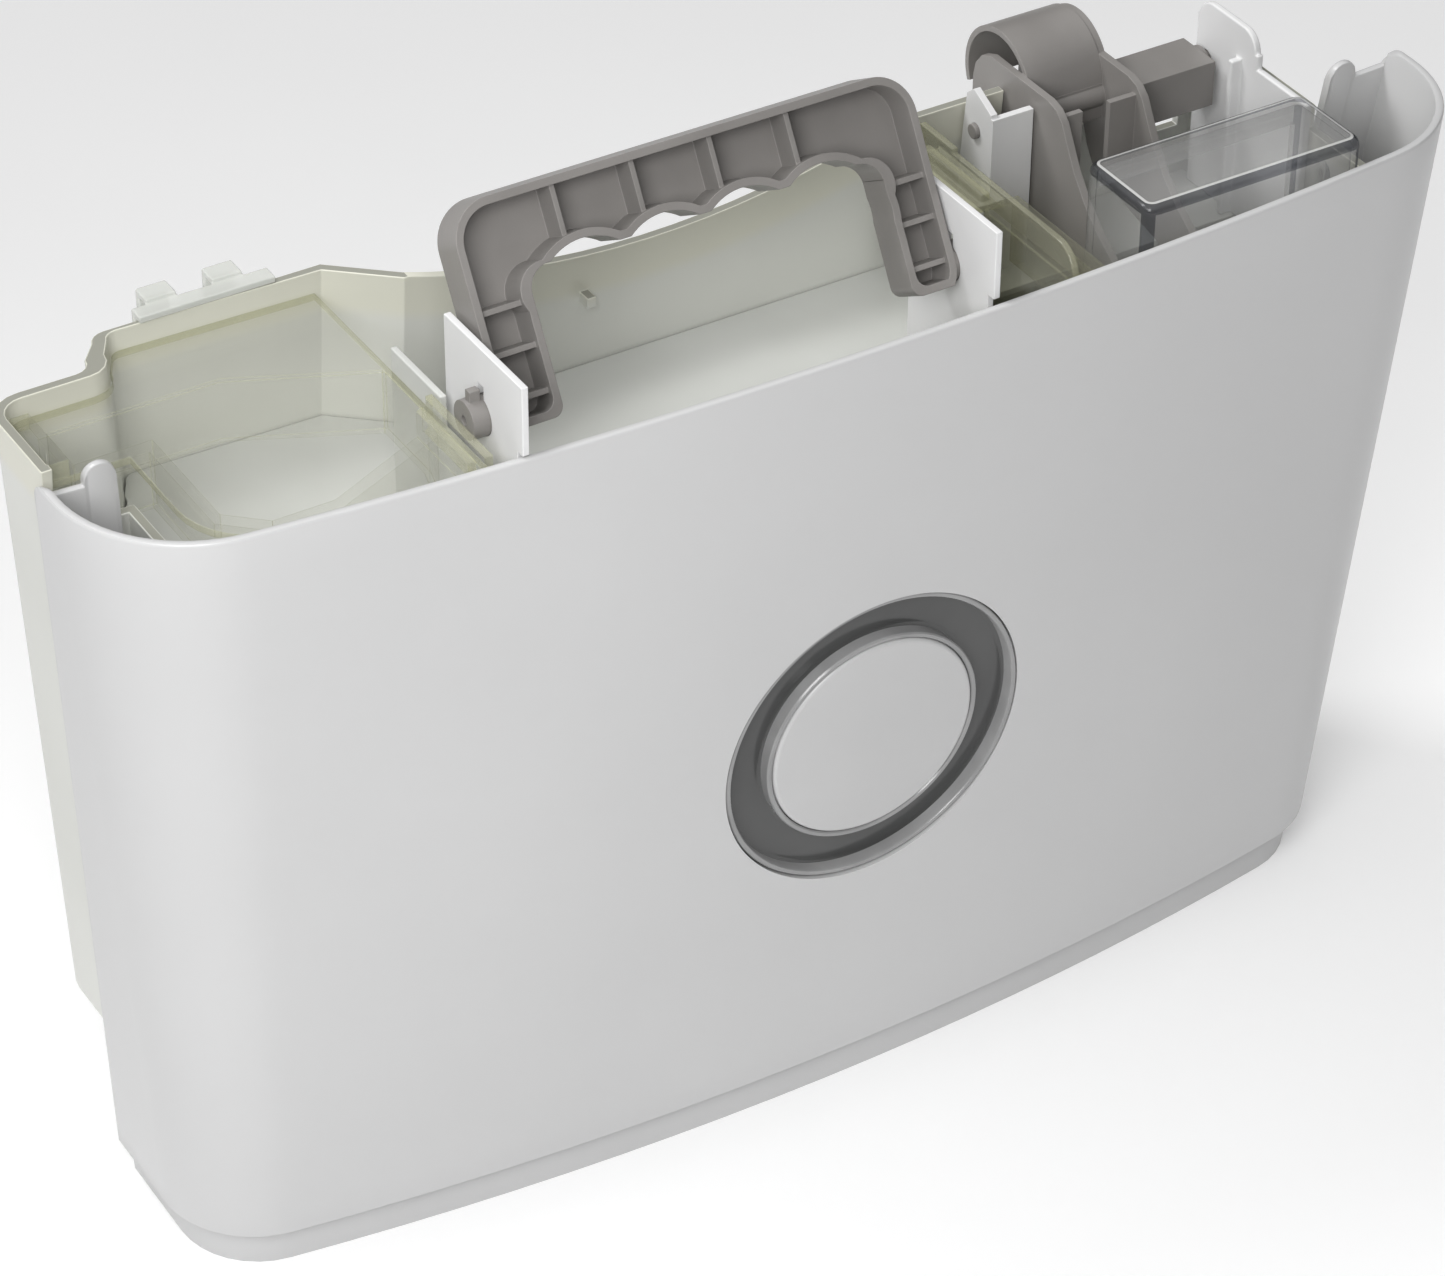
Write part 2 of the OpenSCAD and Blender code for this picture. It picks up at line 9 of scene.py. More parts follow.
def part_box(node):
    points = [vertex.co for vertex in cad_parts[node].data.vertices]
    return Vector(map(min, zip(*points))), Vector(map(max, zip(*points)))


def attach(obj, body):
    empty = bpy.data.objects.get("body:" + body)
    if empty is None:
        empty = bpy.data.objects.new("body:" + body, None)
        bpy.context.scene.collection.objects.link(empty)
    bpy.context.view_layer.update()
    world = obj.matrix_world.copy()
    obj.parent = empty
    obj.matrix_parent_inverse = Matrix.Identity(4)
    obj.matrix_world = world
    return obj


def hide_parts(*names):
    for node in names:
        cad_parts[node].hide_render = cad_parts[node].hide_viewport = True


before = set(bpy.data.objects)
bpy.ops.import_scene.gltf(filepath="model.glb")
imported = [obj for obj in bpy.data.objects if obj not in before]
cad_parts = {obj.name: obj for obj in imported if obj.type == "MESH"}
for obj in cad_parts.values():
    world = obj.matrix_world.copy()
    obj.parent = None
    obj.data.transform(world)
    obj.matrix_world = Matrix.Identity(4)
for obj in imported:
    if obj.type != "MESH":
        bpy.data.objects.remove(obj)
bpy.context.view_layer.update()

MM = 0.001

# ---------------------------------------------------------------- driving sizes, in millimetres


def box_mm(node):
    """Lowest and highest corner of a CAD node, in millimetres."""
    low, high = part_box(node)
    return [v / MM for v in low], [v / MM for v in high]


# The shell in plan, at the floor and at the rim: width, radius of the bowed front and of the front corners
SHELL_LO, SHELL_HI = box_mm("front_shell")
RIM_H = SHELL_HI[2]
RIM_W = SHELL_HI[0] - SHELL_LO[0]
FLOOR_W = RIM_W - 34
FLOOR_BOW_R = 966
RIM_BOW_R = 1585
FLOOR_CORNER_R = 26.9
RIM_CORNER_R = 36.3
# The shell from the side: its foremost point, the lean of its front, and its leaning rear edge
FRONT_Y = SHELL_LO[1]
FRONT_SLOPE = 12.3 / 241
FACE_LEAN = math.atan(FRONT_SLOPE)
REAR_SLOPE = 0.105
RIM_REAR_Y = -3.5
REAR_Z = 236
# The shell's wall, the flanges and round-topped tabs at its rear, and its rounded corners
SHELL_Z0 = SHELL_LO[2]
SHELL_T = 2.4
FLANGE_LEN = 20
FLANGE_TOP = RIM_H - 6
TAB_W = 8
CORNER_TOP_R = 5.5
REAR_R = 1.8
# Steps along the tab's round top, and steps forward along the side, under the rounded top rear corner
TAB_STEPS = 12
SIDE_STEPS = (0.4, 1.1, 1.9, 2.8, 3.7, 4.6)
# The level window: its middle and radius, its disc, its ring's wall and channel, its cup's floor and back
WINDOW_LO, WINDOW_HI = box_mm("window_ring")
WINDOW_X = (WINDOW_LO[0] + WINDOW_HI[0]) / 2
WINDOW_Z = 118.8
WINDOW_R = (WINDOW_HI[0] - WINDOW_LO[0]) / 2
DISC_R = 29.5
RING_T = 1.7
CHANNEL = 4.6
CUP_FLOOR = -9
CUP_BACK = -10.4
# Radius of the innermost points of a turned profile
AXIS = 0.01
# The dip in the tank's rear rim: its middle, its depth and its radius
DIP_X = -12
DIP_DEPTH = 11.3
DIP_R = 207
# The tinted band below the tank's lip: its full height and where it has faded; rims lie above the rim zone
LIP_BAND = 9
LIP_FADE = 14
RIM_ZONE = 210
# The float cover: its width, wall and corner radius, the front right corner's radius below the rim, and the
# rounding of its top
COVER_W = 66.7
COVER_T = 1.8
COVER_CORNER_R = 4.0
COVER_LOW_R = 20.0
COVER_SOFT = 2.4
# Folded facets up to this area, in square millimetres, are let pass when an edge is rounded
FOLD_LIMIT = 12
# Faces narrower than this count as edges of a clear part
THIN_EDGE = 2.4


def half_w(z):
    """Half the shell's width at a height."""
    return FLOOR_W / 2 + (RIM_W - FLOOR_W) / 2 * z / RIM_H


def apex(z):
    """Foremost point of the shell at a height."""
    return FRONT_Y + FRONT_SLOPE * (RIM_H - z)


def bow_r(z):
    """Radius of the bowed front at a height."""
    return FLOOR_BOW_R + (RIM_BOW_R - FLOOR_BOW_R) * z / RIM_H


def corner_r(z):
    """Radius of the shell's front corners at a height."""
    return FLOOR_CORNER_R + (RIM_CORNER_R - FLOOR_CORNER_R) * z / RIM_H


def rear_edge(z):
    """Rear edge of the shell at a height."""
    return RIM_REAR_Y + REAR_SLOPE * (REAR_Z - z)


# ---------------------------------------------------------------- materials


# Scale of the fine grain on moulded plastic, and of the clouds in clear plastic
GRAIN = 1400
CLEAR_PATCH = 40


def node(tree, kind, **inputs):
    """Adds a shader node and sets its inputs or attributes by name."""
    made = tree.nodes.new(kind)
    for key, value in inputs.items():
        if key in made.inputs:
            made.inputs[key].default_value = value
        else:
            setattr(made, key, value)
    return made


def noise(tree, scale, detail=3.0):
    """A noise pattern in the object's own coordinates."""
    coords = node(tree, "ShaderNodeTexCoord")
    made = node(tree, "ShaderNodeTexNoise", Scale=scale, Detail=detail)
    tree.links.new(coords.outputs["Object"], made.inputs["Vector"])
    return made


def plastic(name, dark, light, rough, patch, grain_depth=0.03, **shader):
    """Moulded plastic: a soft cloud of two tones, uneven gloss and a fine moulded grain."""
    material = bpy.data.materials.new(name)
    material.use_nodes = True
    tree = material.node_tree
    surface = tree.nodes["Principled BSDF"]
    for key, value in shader.items():
        surface.inputs[key.replace("_", " ")].default_value = value
    cloud = noise(tree, patch)
    tones = node(tree, "ShaderNodeValToRGB")
    tones.color_ramp.elements[0].position = 0.3
    tones.color_ramp.elements[1].position = 0.7
    tones.color_ramp.elements[0].color = (*dark, 1)
    tones.color_ramp.elements[1].color = (*light, 1)
    tree.links.new(cloud.outputs["Fac"], tones.inputs["Fac"])
    tree.links.new(tones.outputs["Color"], surface.inputs["Base Color"])
    gloss = node(tree, "ShaderNodeMapRange")
    gloss.inputs["To Min"].default_value = rough * 0.85
    gloss.inputs["To Max"].default_value = rough * 1.15
    tree.links.new(noise(tree, patch * 4).outputs["Fac"], gloss.inputs["Value"])
    tree.links.new(gloss.outputs["Result"], surface.inputs["Roughness"])
    relief = node(tree, "ShaderNodeBump", Strength=grain_depth, Distance=0.0004)
    tree.links.new(noise(tree, GRAIN, 2).outputs["Fac"], relief.inputs["Height"])
    tree.links.new(relief.outputs["Normal"], surface.inputs["Normal"])
    return material


def grey(value, tint=(1, 1, 1)):
    """A neutral tone, slightly tinted."""
    return tuple(value * t for t in tint)


def math_node(tree, operation, a, b):
    """A math node; a and b are numbers or outputs."""
    made = node(tree, "ShaderNodeMath", operation=operation)
    for socket, value in zip(made.inputs, (a, b)):
        if isinstance(value, (int, float)):
            socket.default_value = value
        else:
            tree.links.new(value, socket)
    return made.outputs[0]


def lip_band(material, tone):
    """Tints the top of the tank yellow-green, in a band that follows the dip in its rear rim."""
    tree = material.node_tree
    surface = tree.nodes["Principled BSDF"]
    plain = surface.inputs["Base Color"].links[0].from_socket
    split = node(tree, "ShaderNodeSeparateXYZ")
    tree.links.new(node(tree, "ShaderNodeTexCoord").outputs["Object"], split.inputs["Vector"])
    across = math_node(tree, "SUBTRACT", split.outputs["X"], DIP_X * MM)
    rise = math_node(tree, "MULTIPLY", math_node(tree, "MULTIPLY", across, across), 1 / (2 * DIP_R * MM))
    dip = math_node(tree, "MINIMUM", math_node(tree, "SUBTRACT", rise, DIP_DEPTH * MM), 0.0)
    below = math_node(tree, "SUBTRACT", math_node(tree, "ADD", dip, RIM_H * MM), split.outputs["Z"])
    band = node(tree, "ShaderNodeMapRange", interpolation_type="SMOOTHSTEP")
    band.inputs["From Min"].default_value = LIP_BAND * MM
    band.inputs["From Max"].default_value = LIP_FADE * MM
    band.inputs["To Min"].default_value = 1.0
    band.inputs["To Max"].default_value = 0.0
    tree.links.new(below, band.inputs["Value"])
    mix = node(tree, "ShaderNodeMix", data_type="RGBA")
    mix.inputs["B"].default_value = (*tone, 1)
    tree.links.new(band.outputs["Result"], mix.inputs["Factor"])
    tree.links.new(plain, mix.inputs["A"])
    tree.links.new(mix.outputs["Result"], surface.inputs["Base Color"])


def rim_top_painted_shade(material, tone):
    """Paints shade on the flat top of the tank's rim, where the light leaves the milky wall."""
    tree = material.node_tree
    surface = tree.nodes["Principled BSDF"]
    plain = surface.inputs["Base Color"].links[0].from_socket
    facing = node(tree, "ShaderNodeSeparateXYZ")
    tree.links.new(node(tree, "ShaderNodeNewGeometry").outputs["True Normal"], facing.inputs["Vector"])
    place = node(tree, "ShaderNodeSeparateXYZ")
    tree.links.new(node(tree, "ShaderNodeTexCoord").outputs["Object"], place.inputs["Vector"])
    flat = math_node(tree, "GREATER_THAN", facing.outputs["Z"], 0.97)
    high = math_node(tree, "GREATER_THAN", place.outputs["Z"], RIM_ZONE * MM)
    mix = node(tree, "ShaderNodeMix", data_type="RGBA")
    mix.inputs["B"].default_value = (*tone, 1)
    tree.links.new(math_node(tree, "MULTIPLY", flat, high), mix.inputs["Factor"])
    tree.links.new(plain, mix.inputs["A"])
    tree.links.new(mix.outputs["Result"], surface.inputs["Base Color"])


def clear(name, tint, veil_tone, veil, rough=0.06, glancing=0.8):
    """Clear plastic: tinted see-through, an uneven thin veil, and a mirror at glancing angles."""
    material = bpy.data.materials.new(name)
    material.use_nodes = True
    tree = material.node_tree
    body = tree.nodes["Principled BSDF"]
    body.inputs["Base Color"].default_value = (*veil_tone, 1)
    body.inputs["Roughness"].default_value = 0.4
    see = node(tree, "ShaderNodeBsdfTransparent")
    facing = node(tree, "ShaderNodeLayerWeight", Blend=0.5).outputs["Facing"]
    thick = node(tree, "ShaderNodeMix", data_type="RGBA")
    thick.inputs["A"].default_value = (*tint, 1)
    thick.inputs["B"].default_value = (*(v * v * glancing for v in tint), 1)
    tree.links.new(math_node(tree, "POWER", facing, 3.0), thick.inputs["Factor"])
    tree.links.new(thick.outputs["Result"], see.inputs["Color"])
    haze = node(tree, "ShaderNodeMapRange")
    haze.inputs["To Min"].default_value = veil * 0.8
    haze.inputs["To Max"].default_value = min(veil * 1.2, 1)
    tree.links.new(noise(tree, CLEAR_PATCH).outputs["Fac"], haze.inputs["Value"])
    filled = node(tree, "ShaderNodeMixShader")
    tree.links.new(haze.outputs["Result"], filled.inputs["Fac"])
    tree.links.new(see.outputs[0], filled.inputs[1])
    tree.links.new(body.outputs[0], filled.inputs[2])
    gloss = node(tree, "ShaderNodeBsdfAnisotropic", Roughness=rough)
    steep = math_node(tree, "POWER", facing, 4.0)
    glance = math_node(tree, "ADD", math_node(tree, "MULTIPLY", steep, 0.55), 0.03)
    surface = node(tree, "ShaderNodeMixShader")
    tree.links.new(glance, surface.inputs["Fac"])
    tree.links.new(filled.outputs[0], surface.inputs[1])
    tree.links.new(gloss.outputs[0], surface.inputs[2])
    tree.links.new(surface.outputs[0], tree.nodes["Material Output"].inputs["Surface"])
    return material


SHELL_WHITE = plastic("shell_white", grey(0.55), grey(0.58), 0.34, patch=9, Coat_Weight=0.2,
                      Coat_Roughness=0.25)
TRAY_WHITE = plastic("tray_white", grey(0.54), grey(0.57), 0.4, patch=12)
DISC_WHITE = plastic("disc_white", grey(0.52), grey(0.55), 0.3, patch=20)
EAR_WHITE = plastic("bracket_white", grey(0.72), grey(0.76), 0.42, patch=25)
MILKY = plastic("milky_tank", grey(0.62, (0.99, 1, 0.93)), grey(0.68, (0.99, 1, 0.94)), 0.3, patch=16)
SHELF_MILKY = plastic("milky_shelf", grey(0.55, (0.985, 1, 0.95)), grey(0.61, (0.985, 1, 0.96)), 0.22,
                      patch=16)
lip_band(MILKY, grey(0.66, (1.0, 0.995, 0.86)))
# Painted shade on the flat top of the tank's rim
rim_top_painted_shade(MILKY, grey(0.30, (1.0, 1.0, 0.86)))
CLEAR = clear("clear_plastic", (0.995, 0.995, 0.985), (0.80, 0.80, 0.74), 0.02, glancing=0.95)
OLIVE_EDGE = clear("clear_edge_olive", (0.90, 0.90, 0.80), (0.66, 0.655, 0.50), 0.24)
# Painted highlight for the line around the float cover's top
COVER_PAINTED_HIGHLIGHT = clear("clear_cover_painted_highlight", (0.86, 0.87, 0.86), (0.9, 0.9, 0.88), 0.5, rough=0.1, glancing=0.9)
# Painted shade for the float cover's rounding below the top and its front corners
COVER_PAINTED_SHADE = clear("clear_cover_painted_shade", (0.45, 0.46, 0.49), (0.30, 0.31, 0.33), 0.06, rough=0.08,
                   glancing=0.4)
OLIVE_CLEAR = clear("clear_olive", (0.90, 0.90, 0.84), (0.50, 0.49, 0.41), 0.11)
COVER_CLEAR = clear("clear_cover", (0.95, 0.95, 0.948), (0.80, 0.80, 0.79), 0.12, rough=0.04, glancing=0.6)
FROSTED = clear("clear_frosted", (0.92, 0.93, 0.90), (0.78, 0.79, 0.76), 0.55, rough=0.2)
# Smoky clear plastic with painted shade: near black, standing in for the shaded tank seen through the
# window
SMOKY_AND_PAINTED_SHADE = plastic("smoky_clear", grey(0.06, (0.99, 1, 0.99)), grey(0.08, (0.99, 1, 0.99)), 0.14, patch=25,
                grain_depth=0.01)
RING_WALL = plastic("smoky_clear_wall", grey(0.26), grey(0.34), 0.15, patch=60, grain_depth=0.01)
WARM_GREY = plastic("warm_grey", grey(0.215, (1.0, 0.95, 0.90)), grey(0.26, (1.0, 0.95, 0.905)), 0.38,
                    patch=40, grain_depth=0.06)
FERRITE = plastic("ferrite", grey(0.03), grey(0.06), 0.6, patch=300)
FOAM = plastic("float_foam", grey(0.035, (0.9, 0.95, 1.25)), grey(0.06, (0.9, 0.95, 1.25)), 0.7, patch=500,
               grain_depth=0.2)
STEEL = plastic("screw_steel", grey(0.5), grey(0.6), 0.28, patch=400, Metallic=1.0)
FLOOR = plastic("floor", grey(0.84), grey(0.86), 0.8, patch=3, grain_depth=0.0, Emission_Color=(1, 1, 1, 1),
                Emission_Strength=0.2)

# ---------------------------------------------------------------- mesh helpers


def add_piece(name, mesh, material, body, replaces=()):
    """Puts a mesh in the scene as a piece that rides on a CAD body."""
    piece = bpy.data.objects.new(name, mesh)
    bpy.context.scene.collection.objects.link(piece)
    mesh.materials.clear()
    mesh.materials.append(material)
    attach(piece, body)
    if replaces:
        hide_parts(*replaces)
    return piece


def smooth(mesh, angle):
    """Smooth shading with sharp edges kept where faces meet at more than an angle."""
    mesh.polygons.foreach_set("use_smooth", [True] * len(mesh.polygons))
    mesh.set_sharp_from_angle(angle=math.radians(angle))


def round_edges(piece):
    """Rounds every sharp edge and keeps the flats flat; the width of the rounding is set later."""
    bevel = piece.modifiers.new("round", "BEVEL")
    bevel.segments = 3
    bevel.limit_method = "ANGLE"
    bevel.angle_limit = math.radians(28)
    bevel.use_clamp_overlap = False
    weighted = piece.modifiers.new("flats", "WEIGHTED_NORMAL")
    weighted.keep_sharp = True
    return bevel


def mesh_from(name, points, faces):
    """A mesh from points in millimetres."""
    mesh = bpy.data.meshes.new(name)
    mesh.from_pydata([[v * MM for v in p] for p in points], [], faces)
    mesh.validate()
    bm = bmesh.new()
    bm.from_mesh(mesh)
    bmesh.ops.remove_doubles(bm, verts=bm.verts, dist=2e-6)
    bmesh.ops.recalc_face_normals(bm, faces=bm.faces)
    bm.to_mesh(mesh)
    bm.free()
    return mesh


def ring_faces(rings, size, closed=False):
    """Quads between rings of the same size, with end caps unless the rings close on themselves."""
    faces = []
    for i in range(rings if closed else rings - 1):
        a, b = i * size, (i + 1) % rings * size
        faces += [[a + k, a + (k + 1) % size, b + (k + 1) % size, b + k] for k in range(size)]
    if not closed:
        faces.append(list(range(size))[::-1])
        faces.append([(rings - 1) * size + k for k in range(size)])
    return faces


def welded(cad_node, joined):
    """A copy of a CAD node's mesh with its seams closed and, if joined, its flat faces merged."""
    bm = bmesh.new()
    bm.from_mesh(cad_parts[cad_node].data)
    bmesh.ops.remove_doubles(bm, verts=bm.verts, dist=1e-6)
    if joined:
        bmesh.ops.dissolve_limit(bm, angle_limit=math.radians(0.2), verts=bm.verts, edges=bm.edges)
    mesh = bpy.data.meshes.new(cad_node + "_moulding")
    bm.to_mesh(mesh)
    bm.free()
    smooth(mesh, 180)
    return mesh


def folded(piece):
    """Area in square millimetres of the facets that the rounding has turned over."""
    shape = piece.evaluated_get(bpy.context.evaluated_depsgraph_get())
    mesh = shape.to_mesh()
    mesh.calc_loop_triangles()
    corners = [corner.vector.copy() for corner in mesh.corner_normals]
    area = sum(t.area for t in mesh.loop_triangles if min(t.normal.dot(corners[c]) for c in t.loops) < 0.2)
    shape.to_mesh_clear()
    return area / MM**2


def outline(mesh, face):
    """Length of a face's outline, in metres."""
    return sum((mesh.vertices[a].co - mesh.vertices[b].co).length for a, b in face.edge_keys)


def refined(cad_node, material, body, edge, rim=None, rim_above=0):
    """Copy of a CAD node: edges rounded as far as no facet folds, thin edges in the rim material."""
    shares = (1, 0.8, 0.6, 0.4, 0.25)
    tries = [(welded(cad_node, joined), edge * share) for share in shares for joined in (True, False)]
    piece = add_piece(cad_node + "_moulding", tries[0][0], material, body, (cad_node,))
    bevel = round_edges(piece)
    areas = []
    for mesh, width in tries:
        piece.data = mesh
        bevel.width = width * MM
        areas.append(folded(piece))
        if areas[-1] < FOLD_LIMIT:
            break
    mesh, width = tries[areas.index(min(areas))]
    piece.data = mesh
    bevel.width = width * MM
    mesh.materials.clear()
    mesh.materials.append(material)
    if rim:
        mesh.materials.append(rim)
        mark_thin_edges(mesh, tries[0][0], rim_above)
        bevel.material = 1


def mark_thin_edges(mesh, whole, above):
    """Gives the second material to facets above a height that lie on thin faces of the joined mesh."""
    thin = [2 * face.area / outline(whole, face) < THIN_EDGE * MM for face in whole.polygons]
    points = [v.co for v in whole.vertices]
    tree = BVHTree.FromPolygons(points, [face.vertices[:] for face in whole.polygons])
    for face in mesh.polygons:
        within = tree.find_nearest(face.center)[2]
        face.material_index = int(thin[within] and face.center.z > above * MM)


def cut(piece, cutter):
    """Cuts a piece with another object, which is then deleted."""
    boolean = piece.modifiers.new("cut", "BOOLEAN")
    boolean.object = cutter
    boolean.solver = "EXACT"
    graph = bpy.context.evaluated_depsgraph_get()
    mesh = bpy.data.meshes.new_from_object(piece.evaluated_get(graph))
    piece.modifiers.remove(boolean)
    old = piece.data
    piece.data = mesh
    bpy.data.meshes.remove(old)
    bpy.data.objects.remove(cutter)


def lathe(name, profile, material, matrix, body, replaces=()):
    """Turns a closed profile of (radius, height) points about the local Z axis."""
    steps = 128
    points = []
    for i in range(steps):
        a = 2 * math.pi * i / steps
        points += [matrix @ Vector((r * math.cos(a), r * math.sin(a), h)) for r, h in profile]
    mesh = mesh_from(name, points, ring_faces(steps, len(profile), closed=True))
    smooth(mesh, 35)
    add_piece(name, mesh, material, body, replaces)


# ---------------------------------------------------------------- front shell


def arc(cx, cy, r, start, end, steps):
    """Points along an arc, angles in degrees."""
    turns = [math.radians(start + (end - start) * i / steps) for i in range(steps + 1)]
    return [(cx + r * math.cos(a), cy + r * math.sin(a)) for a in turns]


def half_path(z, o):
    """Left half of the shell's plan from the flange's inner end to the front apex, drawn in by o."""
    w = half_w(z) - o
    rear = rear_edge(z) - o
    flange = half_w(z) - FLANGE_LEN
    corner = max(REAR_R - o, 0.2)
    tab = [-flange - TAB_W / 2 * (1 - math.cos(math.pi * i / TAB_STEPS)) for i in range(TAB_STEPS + 1)]
    path = [(x, rear) for x in tab]
    path.append((-flange - TAB_W - 0.02, rear))
    path += arc(-w + corner, rear - corner, corner, 90, 180, 4)
    path += [(-w, rear - REAR_R - d) for d in SIDE_STEPS]
    r = corner_r(z) - o
    bow = bow_r(z) - o
    cy = apex(z) + o + bow - math.sqrt((bow - r) ** 2 - (w - r) ** 2)
    lean = math.degrees(math.atan2(w - r, apex(z) + o + bow - cy))
    path += arc(-w + r, cy, r, 180, 270 - lean, 16)
    steps = 34
    turns = [math.radians(-lean * (1 - i / steps)) for i in range(1, steps + 1)]
    path += [(bow * math.sin(a), apex(z) + o + bow - bow * math.cos(a)) for a in turns]
    return path


def half_tops():
    """Height of the shell's top edge at each point of half_path."""
    tab_r = TAB_W / 2
    tops = []
    for i in range(TAB_STEPS + 1):
        across = tab_r * math.cos(math.pi * i / TAB_STEPS)
        tops.append(FLANGE_TOP + 1.5 + math.sqrt(max(tab_r**2 - across**2, 0)))
    tops.append(FLANGE_TOP)
    for d in (0, 0.1, 0.3, 0.7, 1.2, *(REAR_R + step for step in SIDE_STEPS)):
        run = max(CORNER_TOP_R - d, 0)
        tops.append(RIM_H - CORNER_TOP_R + math.sqrt(CORNER_TOP_R**2 - run**2))
    return tops + [RIM_H] * (len(half_path(0, 0)) - len(tops))


def shell_section(top):
    """Closed section of the shell's wall as (inward offset, height), with rounded edges."""
    low = SHELL_Z0
    outer_rows = 22
    inner_rows = 8
    outer = [(0, low + 0.7 + (top - 1.7 - low) * i / outer_rows) for i in range(outer_rows + 1)]
    inner = [(SHELL_T, low + 0.5 + (top - 1.1 - low) * (1 - i / inner_rows)) for i in range(inner_rows + 1)]
    top_round = [(0.13, top - 0.45), (0.42, top - 0.12), (0.85, top), (SHELL_T - 0.7, top),
                 (SHELL_T - 0.2, top - 0.2)]
    bottom_round = [(SHELL_T - 0.5, low), (0.7, low), (0.2, low + 0.2)]
    return outer + top_round + inner + bottom_round


def front_shell():
    """The bowed white shell with its return flanges and the round window hole."""
    tops = half_tops()
    tops = tops + tops[-2::-1]
    plans = {}

    def plan(o, z):
        if o not in plans:
            plans[o] = [half_path(0, o), half_path(RIM_H, o)]
            for i in (0, 1):
                plans[o][i] += [(-x, y) for x, y in plans[o][i][-2::-1]]
        k = z / RIM_H
        return lambda i: [a + (b - a) * k for a, b in zip(plans[o][0][i], plans[o][1][i])]

    points = []
    size = len(shell_section(RIM_H))
    for i, top in enumerate(tops):
        points += [(*plan(o, z)(i), z) for o, z in shell_section(top)]
    mesh = mesh_from("front_shell_moulding", points, ring_faces(len(tops), size))
    shell = add_piece("front_shell_moulding", mesh, SHELL_WHITE, "bucket", ("front_shell",))
    hole = bpy.data.meshes.new("hole")
    bm = bmesh.new()
    bmesh.ops.create_cone(bm, cap_ends=True, segments=160, radius1=(WINDOW_R + 0.25) * MM,
                          radius2=(WINDOW_R + 0.25) * MM, depth=0.04)
    bm.transform(window_frame(MM))
    bm.to_mesh(hole)
    bm.free()
    cutter = bpy.data.objects.new("hole", hole)
    bpy.context.scene.collection.objects.link(cutter)
    cut(shell, cutter)
    smooth(shell.data, 35)


def window_frame(unit=1.0):
    """Frame on the leaning front face, with +Z out of the face."""
    place = Vector((WINDOW_X, apex(WINDOW_Z), WINDOW_Z)) * unit
    return Matrix.Translation(place) @ Matrix.Rotation(math.pi / 2 + FACE_LEAN, 4, "X")


# ---------------------------------------------------------------- level window


def level_window():
    """Channel ring of smoky clear plastic with painted shade (near black for the shaded tank seen through
    it), its outer and inner walls and the domed white disc.
    """
    out = window_frame()
    inner = DISC_R + RING_T
    outer = WINDOW_R - RING_T
    deep = -CHANNEL
    band = [(outer, deep - 1), (outer, deep + 0.3), (outer - 0.5, deep + 0.05), (outer - 1.2, deep),
            (inner + 1.2, deep), (inner + 0.5, deep + 0.05), (inner, deep + 0.3), (inner, deep - 1)]
    lathe("window_ring_moulding", band, SMOKY_AND_PAINTED_SHADE, out, "bucket", ("window_ring",))
    rim = [(outer, CUP_BACK), (outer, -1.4), (outer + 0.3, -0.95), (outer + 0.8, -0.8),
           (outer + 1.3, -0.85), (outer + 1.6, -1.2), (outer + RING_T, CUP_BACK)]
    lathe("window_rim_moulding", rim, RING_WALL, out, "bucket")
    lip = [(inner, CUP_BACK), (inner, -1.3), (inner - 0.3, -0.9), (inner - 0.75, -0.8), (inner - 1.2, -0.9),
           (inner - 1.5, -1.3), (inner - 1.5, CUP_FLOOR), (AXIS, CUP_FLOOR), (AXIS, CUP_BACK)]
    lathe("window_lip_moulding", lip, RING_WALL, out, "bucket")
    edge = 1.2
    foot = CUP_FLOOR + 0.1
    turns = [math.radians(a) for a in range(0, 91, 15)]
    dome = [(DISC_R - edge + edge * math.sin(a), -1.7 + edge * math.cos(a)) for a in turns]
    dome = [(AXIS, -0.5)] + dome + [(DISC_R, foot), (DISC_R - 2, foot), (DISC_R - 2, -2.8), (AXIS, -2.8)]
    lathe("window_disc_moulding", dome, DISC_WHITE, out, "bucket", ("window_disc",))


# ---------------------------------------------------------------- float cover


def cover_ring(inset, z, corner, low_corner):
    """Plan of the float cover at a height; its front right corner has a radius of its own."""
    low, high = box_mm("float_cover")
    x0, x1 = high[0] - COVER_W + inset, high[0] - inset
    y0, y1 = low[1] + inset, high[1] - inset
    corners = ((x0, y0, corner, 180), (x1, y0, low_corner, 270), (x1, y1, corner, 0), (x0, y1, corner, 90))
    points = []
    for x, y, r, start in corners:
        r = max(r - inset, 0.3)
        cx = x + r if x == x0 else x - r
        cy = y + r if y == y0 else y - r
        points += [(px, py, z) for px, py in arc(cx, cy, r, start, start + 90, 10)]
    return points


